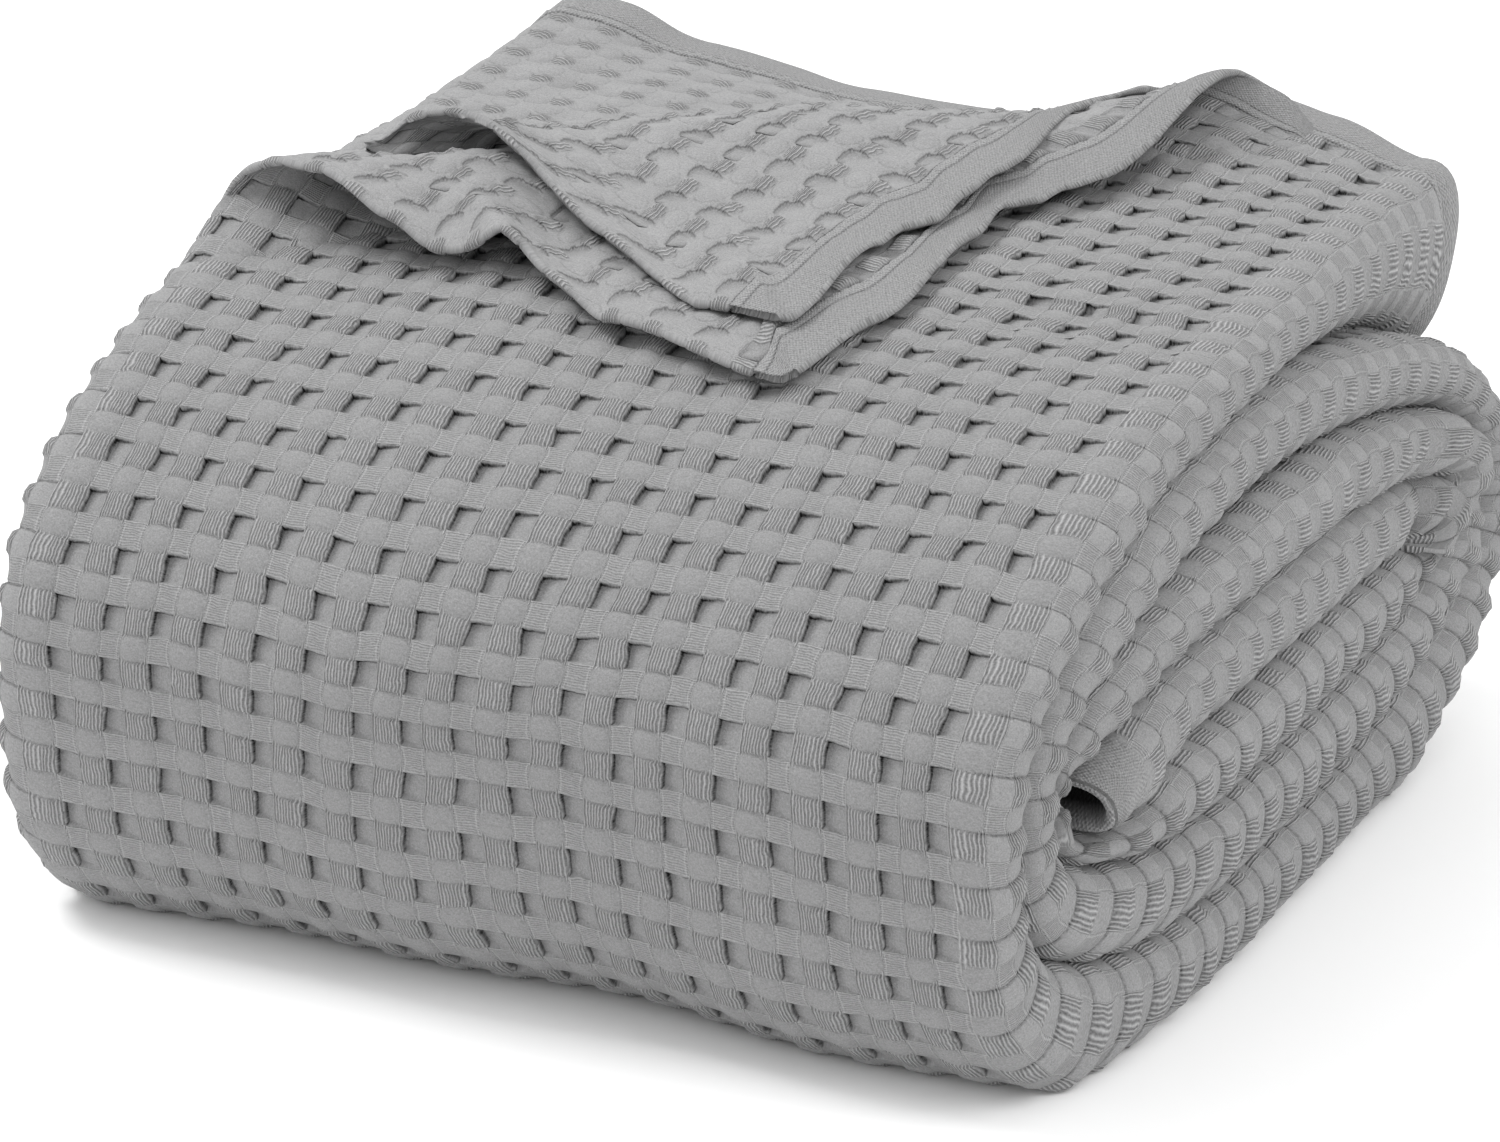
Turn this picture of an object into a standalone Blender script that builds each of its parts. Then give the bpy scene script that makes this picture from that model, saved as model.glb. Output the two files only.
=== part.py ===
# Waffle weave cotton blanket: a long folded strip, rolled up into a flattened
# spiral that lies on its side, with the corner of its loose end turned back.
# Metres, +Z up. X runs along the roll, the front is at -Y, Z = 0 is the surface it rests on.

import bpy
import numpy as np

for item in list(bpy.data.objects):
    bpy.data.objects.remove(item, do_unlink=True)

# Sizes are worked out in weave cells and scaled to metres at the end.
CELL = 0.0195
SHIFT_Y = -1.36
SHIFT_X = -0.2

# The spiral's middle, and the gap left between one turn of the strip and the next.
MID_Y = 1.2
MID_Z = 5.3
TURN_GAP = 0.08
STATIONS_PER_TURN = 36

# From the middle to the strip's outer face, along each axis, from the outermost turn inwards.
# Angles go from the back (0) over the top (90) to the front (180) and under (270).
REACH_Y = ((180, 10.2), (360, 10.15), (540, 9.0), (720, 8.8), (900, 7.9), (1080, 7.2), (1260, 6.9))
REACH_Z = ((90, 5.4), (270, 6.1), (450, 4.0), (630, 3.7), (810, 2.55), (990, 2.0), (1170, 1.0))
# How square each quarter of the section is: back top, top front, front bottom, bottom back.
SQUARENESS = (1.85, 1.93, 4.4, 2.9)
LOOSE_END = 24
LOOSE_REACH = 10.8
CORE_END = 1260

# The strip's two folded sides along X at each angle.
SIDES = (
    # angle, left, right
    (24, -10.0, 9.05),
    (90, -10.05, 9.25),
    (180, -10.1, 9.0),
    (270, -9.7, 10.2),
    (360, -9.4, 10.5),
    (405, -9.5, 10.0),
    (450, -9.6, 9.5),
    (540, -9.9, 9.05),
    (630, -9.5, 10.2),
    (720, -9.2, 10.5),
    (810, -9.5, 10.0),
    (900, -9.8, 9.4),
    (990, -9.4, 10.2),
    (1080, -9.3, 10.3),
    (1170, -9.6, 10.0),
    (1260, -9.9, 9.5),
)
NOSE = 0.9
FACE_X = (-6.5, -3.2, 0.0, 3.2, 6.5)
NOSE_STEPS = (-62, -24, 24, 62)

# Where the turns close up into one packed middle, going round from this angle.
FILL_FROM = 45

# How far the loose end's hem sags and lifts along X.
HEM_SAG = ((-10.0, -0.5), (-8.5, -0.3), (-6.5, 0.3), (-3.2, 0.75), (0.0, 0.8), (3.2, 0.3), (6.5, -0.8), (8.2, 0.0))

# The slit between the two innermost layers.
SLIT_Z = 4.75
SLIT_FRONT = -5.2
SLIT_BACK = 6.9

# The turned corner: the line of its fold on the roll's top, and the sheet's thickness.
FOLD_X = -10.0
FOLD_Y = -2.5
FOLD_TURN = 38.7
SHEET = 0.16

# Sections of the turned sheets across the fold: distance back from the fold line, height
# over the strip. The open form is at the two ends of the fold, the pressed form between.
LOWER_OPEN = (
    (-0.7, -0.35), (-0.3, 0.05), (0.4, 0.25), (0.95, 0.6), (0.95, 0.95), (0.4, 1.27),
    (-0.4, 1.32), (-1.2, 1.1), (-1.9, 0.7), (-2.6, 0.34), (-3.4, 0.2), (-12.5, 0.2),
)
LOWER_PRESSED = (
    (-0.7, -0.35), (-0.3, 0.05), (0.5, 0.12), (1.15, 0.25), (1.4, 0.5), (1.1, 0.74),
    (0.4, 0.8), (-0.5, 0.68), (-1.4, 0.48), (-2.2, 0.3), (-3.0, 0.2), (-12.5, 0.2),
)
UPPER = (
    (1.8, -0.35), (2.2, 0.05), (2.5, 0.32), (2.35, 0.6), (1.6, 0.92), (0.6, 1.12),
    (-0.5, 1.0), (-1.5, 0.76), (-2.5, 0.58), (-3.5, 0.48), (-4.5, 0.46), (-12.0, 0.46),
)
# Length of each sheet from its root round its fold to its edge, along the fold line.
LOWER_EDGE = (
    # along the fold, length
    (0.3, 1.2), (4.3, 6.2), (6.5, 9.6), (9.0, 12.7), (11.1, 11.2), (14.1, 7.8), (16.5, 6.0), (21.5, 1.2),
)
UPPER_EDGE = (
    # along the fold, length
    (4.2, 1.2), (5.5, 2.4), (7.0, 6.9), (8.1, 9.8), (9.5, 10.9), (11.7, 8.7), (14.5, 6.1), (17.0, 3.2), (19.8, 1.2),
)


def smooth(table, at):
    """Eased reading of a two-column table."""
    keys = np.array([row[0] for row in table], float)
    values = np.array([row[1] for row in table], float)
    at = np.clip(at, keys[0], keys[-1])
    i = np.clip(np.searchsorted(keys, at, side="right") - 1, 0, len(keys) - 2)
    t = (at - keys[i]) / (keys[i + 1] - keys[i])
    t = t * t * (3 - 2 * t) * 0.5 + t * 0.5
    return values[i] + (values[i + 1] - values[i]) * t


def unevenness(angle, x):
    """Slow rise and fall of the strip's face, dying out at the core."""
    swell = 0.07 * np.sin(0.42 * x + angle * 0.021) + 0.05 * np.sin(0.9 * x - angle * 0.013)
    return swell * np.clip((1100 - angle) / 200, 0, 1)


def loose_face(angle, x):
    """The outer face of the loose end, lying back over the roll instead of going round it."""
    part = (90 - angle) / (90 - LOOSE_END)
    y = MID_Y + LOOSE_REACH * part
    sag = smooth(HEM_SAG, x) * np.clip((part - 0.4) / 0.6, 0, 1) ** 1.5
    z = MID_Z + 5.4 - sag + 0.1 * part
    return y, z


def outer_face(angle, x):
    """(y, z) of the strip's outer face at this angle of the spiral."""
    turn = np.radians(angle % 360)
    power = 2 / SQUARENESS[int(angle % 360 // 90)]
    reach_y = smooth(REACH_Y, angle)
    reach_z = smooth(REACH_Z, angle)
    side = np.cos(turn)
    rise = np.sin(turn)
    bump = 1 + unevenness(angle, x) / 6
    if angle < 90:
        return loose_face(angle, x)
    y = MID_Y + reach_y * np.sign(side) * abs(side) ** power * bump
    z = MID_Z + reach_z * np.sign(rise) * abs(rise) ** power * bump
    return y, max(z, 0.0)


def core_outline():
    """The slit and the core's rounded end, which the innermost turn closes on."""
    tip = outer_face(CORE_END, 0.0)
    corner = (tip[0] + 0.12, (tip[1] + SLIT_Z) / 2 - 0.06)
    along = np.linspace(SLIT_FRONT, SLIT_BACK, 60)
    rows = [tip, corner] + [(y, SLIT_Z) for y in along]
    return np.array(rows)


CORE = core_outline()


def inner_face(angle, x, outer):
    """The strip's inner face: the next turn's outer face, or the core's slit, plus the gap."""
    if angle + 360 <= CORE_END:
        y, z = outer_face(angle + 360, x)
        gap = TURN_GAP
    else:
        outline = CORE if angle < 1080 else CORE[2:]
        near = outline[np.argmin(((outline - np.array(outer)) ** 2).sum(axis=1))]
        y, z = near
        gap = TURN_GAP / 2 if angle > 990 else TURN_GAP
    away = np.array(outer) - (y, z)
    away = away / np.linalg.norm(away)
    return y + gap * away[0], z + gap * away[1]


def strip_ring(angle, thin=1.0):
    """One closed ring of points round the strip's section at this angle."""
    left = smooth([(row[0], row[1]) for row in SIDES], angle)
    right = smooth([(row[0], row[2]) for row in SIDES], angle)
    across = [left + NOSE, *FACE_X, right - NOSE]
    faces = []
    for x in across:
        outer = np.array(outer_face(angle, x))
        inner = np.array(inner_face(angle, x, outer))
        middle = (outer + inner) / 2
        half = (outer - inner) / 2 * thin
        faces.append((middle, half))
    ring = [(x, *(m + h)) for x, (m, h) in zip(across, faces)]
    for step in NOSE_STEPS[::-1]:
        m, h = faces[-1]
        x = right - NOSE + NOSE * np.cos(np.radians(step))
        ring.append((x, *(m + h * np.sin(np.radians(step)))))
    ring += [(x, *(m - h)) for x, (m, h) in zip(across[::-1], faces[::-1])]
    for step in NOSE_STEPS:
        m, h = faces[0]
        x = left + NOSE - NOSE * np.cos(np.radians(step))
        ring.append((x, *(m + h * np.sin(np.radians(step)))))
    return ring


def station_angles():
    """Angles of the rings: the same ones in every turn, closer where the section bends."""
    fine = np.arange(0, 360.5, 0.5)
    path = np.array([outer_face(360 + a, 0.0) for a in fine])
    step = np.hypot(*np.diff(path, axis=0).T)
    share = np.concatenate([[0], np.cumsum(step / step.sum() * 0.55 + 0.45 / len(step))])
    turn = np.interp(np.linspace(0, 1, STATIONS_PER_TURN + 1)[:-1], share, fine)
    every = np.concatenate([turn + 360 * k for k in range(4)])
    inside = every[(every > LOOSE_END + 3) & (every < CORE_END - 3)]
    return [LOOSE_END, *inside, CORE_END]


def mesh_object(name, rings):
    """A solid from rings of points, each ring joined to the next, with flat ends."""
    points = [p for ring in rings for p in ring]
    count = len(rings[0])
    faces = []
    for i in range(len(rings) - 1):
        for j in range(count):
            k = (j + 1) % count
            a, b = i * count, (i + 1) * count
            faces.append((a + j, a + k, b + k, b + j))
    faces.append(tuple(range(count))[::-1])
    faces.append(tuple(range((len(rings) - 1) * count, len(rings) * count)))
    placed = [((x + SHIFT_X) * CELL, (y + SHIFT_Y) * CELL, z * CELL) for x, y, z in points]
    mesh = bpy.data.meshes.new(name)
    mesh.from_pydata(placed, [], faces)
    mesh.update()
    obj = bpy.data.objects.new(name, mesh)
    bpy.context.collection.objects.link(obj)
    bpy.context.view_layer.objects.active = obj
    bpy.ops.object.select_all(action="DESELECT")
    obj.select_set(True)
    bpy.ops.object.mode_set(mode="EDIT")
    bpy.ops.mesh.select_all(action="SELECT")
    bpy.ops.mesh.quads_convert_to_tris(quad_method="FIXED", ngon_method="BEAUTY")
    bpy.ops.mesh.normals_make_consistent(inside=False)
    bpy.ops.object.mode_set(mode="OBJECT")
    return obj


def wound_middle():
    """The close-packed inside of the roll, which the turns stand out of at both ends."""
    turn = [a for a in station_angles() if FILL_FROM <= a <= FILL_FROM + 360]
    rings = []
    for side, inset in ((-1, (8.3, 7.9)), (1, (8.0, 9.5))):
        outline = []
        for a in turn:
            outer = np.array(outer_face(a, 0.0))
            y, z = (outer + inner_face(a, 0.0, outer)) / 2
            lean = (1 + np.cos(np.radians(a % 360 + 25))) / 2
            x = side * (inset[0] + (inset[1] - inset[0]) * lean)
            outline.append((x, y, z))
        rings.append(outline)
    return mesh_object("wound_middle", rings)


def top_height(x, y):
    """Height of the strip's top face over a point."""
    angles = np.arange(LOOSE_END, 181, 2)
    path = np.array([outer_face(a, x) for a in angles])[::-1]
    return np.interp(y, path[:, 0], path[:, 1])


def section(along, table):
    """Points along a turned sheet's section, at even steps of its length."""
    rows = np.array(table, float)
    length = np.concatenate([[0], np.cumsum(np.hypot(*np.diff(rows, axis=0).T))])
    return np.interp(along, length, rows[:, 0]), np.interp(along, length, rows[:, 1])


def turned_sheet(name, forms, edge, steps_along, steps_round):
    """A thin sheet bent over along the fold line, from its root to its free edge."""
    heading = np.radians(FOLD_TURN)
    ahead = np.array([np.cos(heading), np.sin(heading)])
    back = np.array([-ahead[1], ahead[0]])
    rings = []
    for q in np.linspace(edge[0][0], edge[-1][0], steps_along):
        along = np.linspace(0, 1, steps_round) * np.interp(q, *np.array(edge).T)
        press = np.clip((q - 2.5) / 3.0, 0, 1) * np.clip((20.5 - q) / 3.5, 0, 1)
        n0, h0 = section(along, forms[0])
        n1, h1 = section(along, forms[1])
        n = n0 + (n1 - n0) * press
        h = (h0 + (h1 - h0) * press) * (1 - 0.45 * np.clip((q - 17) / 3.5, 0, 1))
        tangent = np.stack([np.gradient(n), np.gradient(h)])
        tangent /= np.linalg.norm(tangent, axis=0)
        ring = []
        for side in (1, -1):
            row = []
            for i in range(steps_round):
                across = n[i] - side * tangent[1][i] * SHEET / 2
                height = h[i] + side * tangent[0][i] * SHEET / 2
                x, y = np.array([FOLD_X, FOLD_Y]) + q * ahead + across * back
                row.append((x, y, top_height(x, y) + height))
            ring += row if side > 0 else row[::-1]
        rings.append(ring)
    return mesh_object(name, rings)


def joined(base, part):
    """Base with the part united into it."""
    modifier = base.modifiers.new("unite", "BOOLEAN")
    modifier.operation = "UNION"
    modifier.solver = "EXACT"
    modifier.object = part
    bpy.context.view_layer.objects.active = base
    bpy.ops.object.modifier_apply(modifier="unite")
    bpy.data.objects.remove(part, do_unlink=True)


angles = station_angles()
blanket = mesh_object("blanket", [strip_ring(a, 0.8 if a == LOOSE_END else 1.0) for a in angles])
joined(blanket, wound_middle())
joined(blanket, turned_sheet("lower_sheet", (LOWER_OPEN, LOWER_PRESSED), LOWER_EDGE, 26, 18))
joined(blanket, turned_sheet("upper_sheet", (UPPER, UPPER), UPPER_EDGE, 20, 16))

cotton = bpy.data.materials.new("cotton")
cotton.use_nodes = True
shader = cotton.node_tree.nodes["Principled BSDF"]
shader.inputs["Base Color"].default_value = (0.33, 0.33, 0.335, 1)
shader.inputs["Roughness"].default_value = 0.95
blanket.data.materials.clear()
blanket.data.materials.append(cotton)
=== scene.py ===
import time
from types import SimpleNamespace

import bpy
import numpy as np
from mathutils import Matrix, Vector


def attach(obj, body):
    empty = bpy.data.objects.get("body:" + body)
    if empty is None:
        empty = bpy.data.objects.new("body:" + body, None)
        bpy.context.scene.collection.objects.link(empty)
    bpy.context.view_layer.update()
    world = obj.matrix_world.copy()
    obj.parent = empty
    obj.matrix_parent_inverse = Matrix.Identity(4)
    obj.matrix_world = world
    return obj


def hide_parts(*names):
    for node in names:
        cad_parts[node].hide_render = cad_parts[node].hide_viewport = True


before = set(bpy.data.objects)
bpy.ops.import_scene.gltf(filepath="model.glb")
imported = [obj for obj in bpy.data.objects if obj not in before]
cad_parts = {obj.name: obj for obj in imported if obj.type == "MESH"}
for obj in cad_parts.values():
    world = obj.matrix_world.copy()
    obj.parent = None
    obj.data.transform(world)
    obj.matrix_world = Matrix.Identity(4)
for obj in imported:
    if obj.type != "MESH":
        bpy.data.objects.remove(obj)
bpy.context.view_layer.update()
started = time.time()

# Lengths are in weave cells; X along the roll, Y to the back, Z up.
cell = 0.0195  # metres
shift = np.array([-0.2, -1.36, 0.0])  # brings the roll over the origin
row = 0.96  # a row's pitch along the strip, in cells


def stage(text):
    # Reports a finished stage.
    print(f"[{time.time() - started:6.1f} s] {text}", flush=True)


def ease(t):
    t = np.clip(t, 0, 1)
    return t * t * (3 - 2 * t)


def smooth(table, at):
    # A table of (key, value) read between its keys, half eased.
    keys, values = np.array(table, float).T
    at = np.clip(at, keys[0], keys[-1])
    i = np.clip(np.searchsorted(keys, at, side="right") - 1, 0, len(keys) - 2)
    t = (at - keys[i]) / (keys[i + 1] - keys[i])
    t = (ease(t) + t) / 2
    return values[i] + (values[i + 1] - values[i]) * t


def hashed(i, j, seed):
    # Repeatable noise in -1..1 for whole-number cells.
    a = np.sin(i * 127.1 + j * 311.7 + seed * 74.7) * 43758.5453
    return 2 * (a - np.floor(a)) - 1


def noise(x, y, seed):
    # Smooth noise in about -1..1, one lump per unit.
    ix, iy = np.floor(x), np.floor(y)
    fx, fy = ease(x - ix), ease(y - iy)
    low = hashed(ix, iy, seed) * (1 - fx) + hashed(ix + 1, iy, seed) * fx
    high = hashed(ix, iy + 1, seed) * (1 - fx) + hashed(ix + 1, iy + 1, seed) * fx
    return low * (1 - fy) + high * fy


# The roll's shape, against the angle of its spiral: 0 at the back, 90 on top, 180 in front.
roll = dict(
    midY=1.2, midZ=5.3, looseAngle=24.0, coreAngle=1260.0,
    looseReach=10.8, looseTop=5.4, looseRise=0.1,  # the loose end over the top
    gap=0.08, tightFrom=990.0, tipTo=1080.0,  # between turns, and half as much from tightFrom
    swells=((0.07, 0.42, 0.021), (0.05, 0.9, -0.013)),  # slow waves: size, rate along X, rate by angle
    swellTo=1100.0, swellFade=200.0,
    reachY=((180, 10.2), (360, 10.15), (540, 9.0), (720, 8.8), (900, 7.9), (1080, 7.2), (1260, 7.35)),
    reachZ=((90, 5.4), (270, 6.1), (450, 4.0), (630, 3.7), (810, 2.55), (990, 2.0), (1170, 1.0)),
    squareness=(1.85, 1.93, 4.4, 2.9),  # of each quarter turn
    # The folded sides along X.
    left=((24, -10.0), (90, -10.05), (180, -10.1), (270, -9.7), (360, -9.4), (405, -9.5), (450, -9.6),
          (540, -9.9), (630, -9.5), (720, -9.2), (810, -9.5), (900, -9.8), (990, -9.4), (1080, -9.3),
          (1170, -9.6), (1260, -9.9)),
    right=((24, 9.05), (90, 9.25), (180, 9.0), (270, 10.2), (360, 10.5), (405, 10.0), (450, 9.5),
           (540, 9.05), (630, 10.2), (720, 10.5), (810, 10.0), (900, 8.95), (990, 10.2), (1080, 10.3),
           (1170, 10.0), (1260, 9.65)),
    hemSag=((-10.0, -0.5), (-8.5, -0.3), (-6.5, 0.3), (-3.2, 0.75), (0.0, 0.8), (2.0, 0.5), (3.2, 0.0),
            (4.75, -0.45), (6.5, -0.05), (8.2, 0.5)),
    sagFrom=0.4,
    slit=(-5.7, 6.9, 4.75), slitDip=0.6,  # between the two innermost layers: front, back, height
    dip=0.25, dipAngle=1150.0, dipFrom=-3.0, dipOver=2.0,  # the core's end sinks towards the front
    hollow=0.3, hollowAngle=900.0, hollowWide=24.0,  # opens the gap before the core
)


def coreDip(y):
    # How much of its dip the core's end has taken, towards the front.
    return ease((roll["dipFrom"] - y) / roll["dipOver"])


def outerFace(angle, x):
    # (y, z) of the strip's outer face at these angles of the spiral.
    turn = np.radians(angle % 360)
    power = 2 / np.array(roll["squareness"])[(angle % 360 // 90).astype(int)]
    side, rise = np.cos(turn), np.sin(turn)
    swell = sum(size * np.sin(rate * x + twist * angle) for size, rate, twist in roll["swells"])
    bump = 1 + swell * np.clip((roll["swellTo"] - angle) / roll["swellFade"], 0, 1) / 6
    y = roll["midY"] + smooth(roll["reachY"], angle) * np.sign(side) * np.abs(side) ** power * bump
    z = roll["midZ"] + smooth(roll["reachZ"], angle) * np.sign(rise) * np.abs(rise) ** power * bump
    z = z - np.where(angle > roll["dipAngle"], roll["dip"] * coreDip(y), 0.0)
    # The loose end lies straight back from the top, and its hem sags and lifts.
    part = (90 - angle) / (90 - roll["looseAngle"])
    sag = smooth(roll["hemSag"], x) * np.clip((part - roll["sagFrom"]) / (1 - roll["sagFrom"]), 0, 1) ** 1.5
    loose = angle < 90
    y = np.where(loose, roll["midY"] + roll["looseReach"] * part, y)
    z = np.where(loose, roll["midZ"] + roll["looseTop"] - sag + roll["looseRise"] * part, z)
    return y, np.maximum(z, 0.0)


def innerFace(angle, x):
    # (y, z) of the strip's inner face: the next turn's outer face, or the core's slit.
    y, z = outerFace(angle, x)
    ny, nz = outerFace(np.minimum(angle + 360, roll["coreAngle"]), x)
    front, back, level = roll["slit"]
    slitY = np.clip(y, front, back)
    slitZ = level - roll["slitDip"] * coreDip(slitY)
    tipY, tipZ = outerFace(np.full_like(angle, roll["coreAngle"]), x)
    toTip = (y - tipY) ** 2 + (z - tipZ) ** 2 < (y - slitY) ** 2 + (z - slitZ) ** 2
    toTip &= angle < roll["tipTo"]
    endY, endZ = np.where(toTip, tipY, slitY), np.where(toTip, tipZ, slitZ)
    last = angle + 360 > roll["coreAngle"]
    ny, nz = np.where(last, endY, ny), np.where(last, endZ, nz)
    ny = ny - roll["hollow"] * np.exp(-((angle - roll["hollowAngle"]) / roll["hollowWide"]) ** 2)
    away = np.hypot(y - ny, z - nz)
    gap = np.where(angle > roll["tightFrom"], roll["gap"] / 2, roll["gap"]) / away
    return ny + (y - ny) * gap, nz + (z - nz) * gap


def pathTable():
    # Length along the strip from its loose end, against angle.
    part = ease(np.linspace(0, 1, 160))
    quarters = int(roll["coreAngle"] // 90)
    angles = np.unique(np.concatenate([90 * k + 90 * part for k in range(quarters)]))
    angles = angles[(angles >= roll["looseAngle"]) & (angles <= roll["coreAngle"])]
    y, z = outerFace(angles, np.zeros_like(angles))
    return angles, np.concatenate([[0], np.cumsum(np.hypot(np.diff(y), np.diff(z)))])


pathAngles, pathLengths = pathTable()
stripLength = pathLengths[-1]
stage(f"strip is {stripLength:.1f} cells long, {stripLength * cell:.3f} m")

# The weave's relief. Columns of pockets and linings stand between columns of floats and crossings.
weave = dict(
    uNodes=(0.0, 0.03, 0.08, 0.2, 0.36, 0.43, 0.47, 0.54, 0.63, 0.73, 0.84, 0.94),  # mesh lines in a cell
    vNodes=(0.0, 0.03, 0.09, 0.25, 0.41, 0.46, 0.49, 0.55, 0.64, 0.745, 0.85, 0.94),
    pocketU=0.46, pocketV=0.49, wall=0.035, deep=-0.125, shallow=-0.03,
    float=0.015, floatArch=0.06,
    lined=-0.012, liningArch=0.02,
    crossU=0.73, crossV=0.745, crossHalf=0.3, dome=0.07,
)
# The cloth's reverse, and its rows where they open round a fold.
reverseSide = dict(
    tuftU=0.74, tuftV=0.245, tuft=0.09, dentU=0.23, dentV=0.245, dentHalf=0.29, dent=-0.075, plump=0.05,
    waves=0.03,
)
foldRows = dict(leaf=0.065, tuftU=0.72, tuftV=0.25, tuft=0.05, lower=0.02)
hemCloth = dict(rise=0.03, waves=0.035, seamAt=-0.12, seamHalf=0.13, seam=0.02, pucker=0.025, groove=0.05)


def faceRelief(u, v):
    fu, fv = u - np.floor(u), v - np.floor(v)
    wallU = ease(fu / weave["wall"]) * ease((weave["pocketU"] - fu) / weave["wall"])
    wallV = ease(fv / weave["wall"]) * ease((weave["pocketV"] - fv) / weave["wall"])
    du = (fu - weave["crossU"] - np.round(fu - weave["crossU"])) / weave["crossHalf"]
    dv = (fv - weave["crossV"] - np.round(fv - weave["crossV"])) / weave["crossHalf"]
    disc = np.clip(1 - (np.abs(du) ** 2.3 + np.abs(dv) ** 2.3), 0, 1)
    # A pocket is deep beside the float on its left and comes up towards the next.
    up = 0.82 * ease(fu / weave["pocketU"]) + 0.18 * ease(fv / weave["pocketV"])
    pocket = weave["deep"] + (weave["shallow"] - weave["deep"]) * up
    lined = weave["lined"] + weave["liningArch"] * np.clip(1 - dv ** 2, 0, 1)
    lean = np.clip((fu - weave["pocketU"]) / (1 - weave["pocketU"]), 0, 1)
    floats = weave["float"] + weave["floatArch"] * np.sin(np.pi * lean ** 1.5)
    cross = weave["dome"] * ease(disc * 1.3)
    bare = (1 - wallU) * wallV * floats + (1 - wallU) * (1 - wallV) * cross
    return wallU * wallV * pocket + wallU * (1 - wallV) * lined + bare


def backRelief(u, v):
    # The cloth's reverse is nearly flat: small tufts, shallow dents and plump crossings.
    fu, fv = u - np.floor(u), v - np.floor(v)
    side = reverseSide
    dentU, dentV = (fu - side["dentU"]) / side["dentHalf"], (fv - side["dentV"]) / side["dentHalf"]
    dent = np.clip(1 - np.abs(dentU) ** 3 - np.abs(dentV) ** 3, 0, 1)
    dent = ease(dent * 3) * (0.1 + 0.9 * ease((fu + fv) / 0.9))
    tuft = np.clip(1 - ((fu - side["tuftU"]) / 0.24) ** 2 - ((fv - side["tuftV"]) / 0.19) ** 2, 0, 1)
    plump = np.clip(1 - ((fu - weave["crossU"]) / 0.3) ** 2 - ((fv - weave["crossV"]) / 0.27) ** 2, 0, 1)
    even = side["tuft"] * ease(tuft * 1.6) + side["dent"] * dent + side["plump"] * plump
    return even + side["waves"] * noise(u * 0.9, v * 0.8, 8)


def foldRelief(u, v):
    # Round a fold the pockets are pulled open: each row bulges like a leaf, with a tuft of floats on it.
    fu, fv = u - np.floor(u), v - np.floor(v)
    leaf = foldRows["leaf"] * np.sqrt(np.clip(1 - (2 * fv - 1) ** 2, 0, 1))
    tuft = 1 - ((fu - foldRows["tuftU"]) / 0.3) ** 2 - ((fv - foldRows["tuftV"]) / 0.24) ** 2
    return leaf + foldRows["tuft"] * ease(np.clip(tuft, 0, 1) * 1.5) - foldRows["lower"]


def hemRelief(u, v):
    # A hem is plain, with a puckered row of stitching along its inner edge.
    pucker = np.sin(2 * np.pi * (3.6 * u + 0.35 * noise(u * 1.3, 0.0, 9)))
    seam = np.clip(1 - np.abs((v - hemCloth["seamAt"]) / hemCloth["seamHalf"]), 0, 1)
    seam = seam * (hemCloth["seam"] + hemCloth["pucker"] * pucker)
    groove = np.exp(-((v + 0.3) / 0.06) ** 2) + np.exp(-(v / 0.05) ** 2)
    plain = hemCloth["rise"] + hemCloth["waves"] * noise(u * 1.1, v * 0.9, 10)
    return plain + seam - hemCloth["groove"] * groove


def unevenWeave(u, v):
    # How far the real cloth is pulled out of its even grid, across and along.
    across = 0.13 * noise(u * 0.31, v * 0.27, 1) + 0.05 * noise(u * 1.1, v * 1.3, 2)
    along = 0.13 * noise(u * 0.29, v * 0.33, 3) + 0.05 * noise(u * 1.2, v * 1.1, 4)
    return across, along


def nodesBetween(nodes, low, high):
    # The cell's mesh lines, repeated between two ends.
    cells = np.arange(np.floor(low), np.ceil(high) + 1)
    every = (cells[:, None] + np.array(nodes)).ravel()
    inside = every[(every > low + 0.01) & (every < high - 0.01)]
    return np.concatenate([[low], inside, [high]])


def normalsOf(points, wrapColumns):
    # Unit normals of a grid of points (rows, columns, 3).
    if wrapColumns:
        padded = np.concatenate([points[:, -1:], points, points[:, :1]], axis=1)
        across = padded[:, 2:] - padded[:, :-2]
    else:
        across = np.gradient(points, axis=1)
    along = np.gradient(points, axis=0)
    normal = np.cross(along, across)
    return normal / np.maximum(np.linalg.norm(normal, axis=2, keepdims=True), 1e-9)


def meshPiece(name, points, smoothFaces, flatFaces, uv, masks):
    # A mesh object in metres, with its weave coordinates as a UV map.
    mesh = bpy.data.meshes.new(name)
    mesh.vertices.add(len(points))
    mesh.vertices.foreach_set("co", ((points + shift) * cell).astype(np.float32).ravel())
    faceSets = list(smoothFaces) + list(flatFaces)
    corners = np.concatenate([np.asarray(faces, np.int32).ravel() for faces in faceSets])
    totals = np.concatenate([np.full(len(faces), faces.shape[1], np.int32) for faces in faceSets])
    smoothCount = sum(len(faces) for faces in smoothFaces)
    mesh.loops.add(len(corners))
    mesh.loops.foreach_set("vertex_index", corners)
    mesh.polygons.add(len(totals))
    starts = np.concatenate([[0], np.cumsum(totals)[:-1]]).astype(np.int32)
    mesh.polygons.foreach_set("loop_start", starts)
    mesh.polygons.foreach_set("loop_total", totals)
    mesh.polygons.foreach_set("use_smooth", np.arange(len(totals)) < smoothCount)
    layer = mesh.uv_layers.new(name="weave")
    layer.data.foreach_set("uv", uv[corners].astype(np.float32).ravel())
    mesh.update(calc_edges=True)
    mesh.validate()
    for mask, values in masks.items():
        attribute = mesh.attributes.new(mask, "FLOAT", "POINT")
        attribute.data.foreach_set("value", values.astype(np.float32))
    piece = bpy.data.objects.new(name, mesh)
    bpy.context.collection.objects.link(piece)
    stage(f"{name}: {int((totals - 2).sum())} triangles")
    return piece


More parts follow.
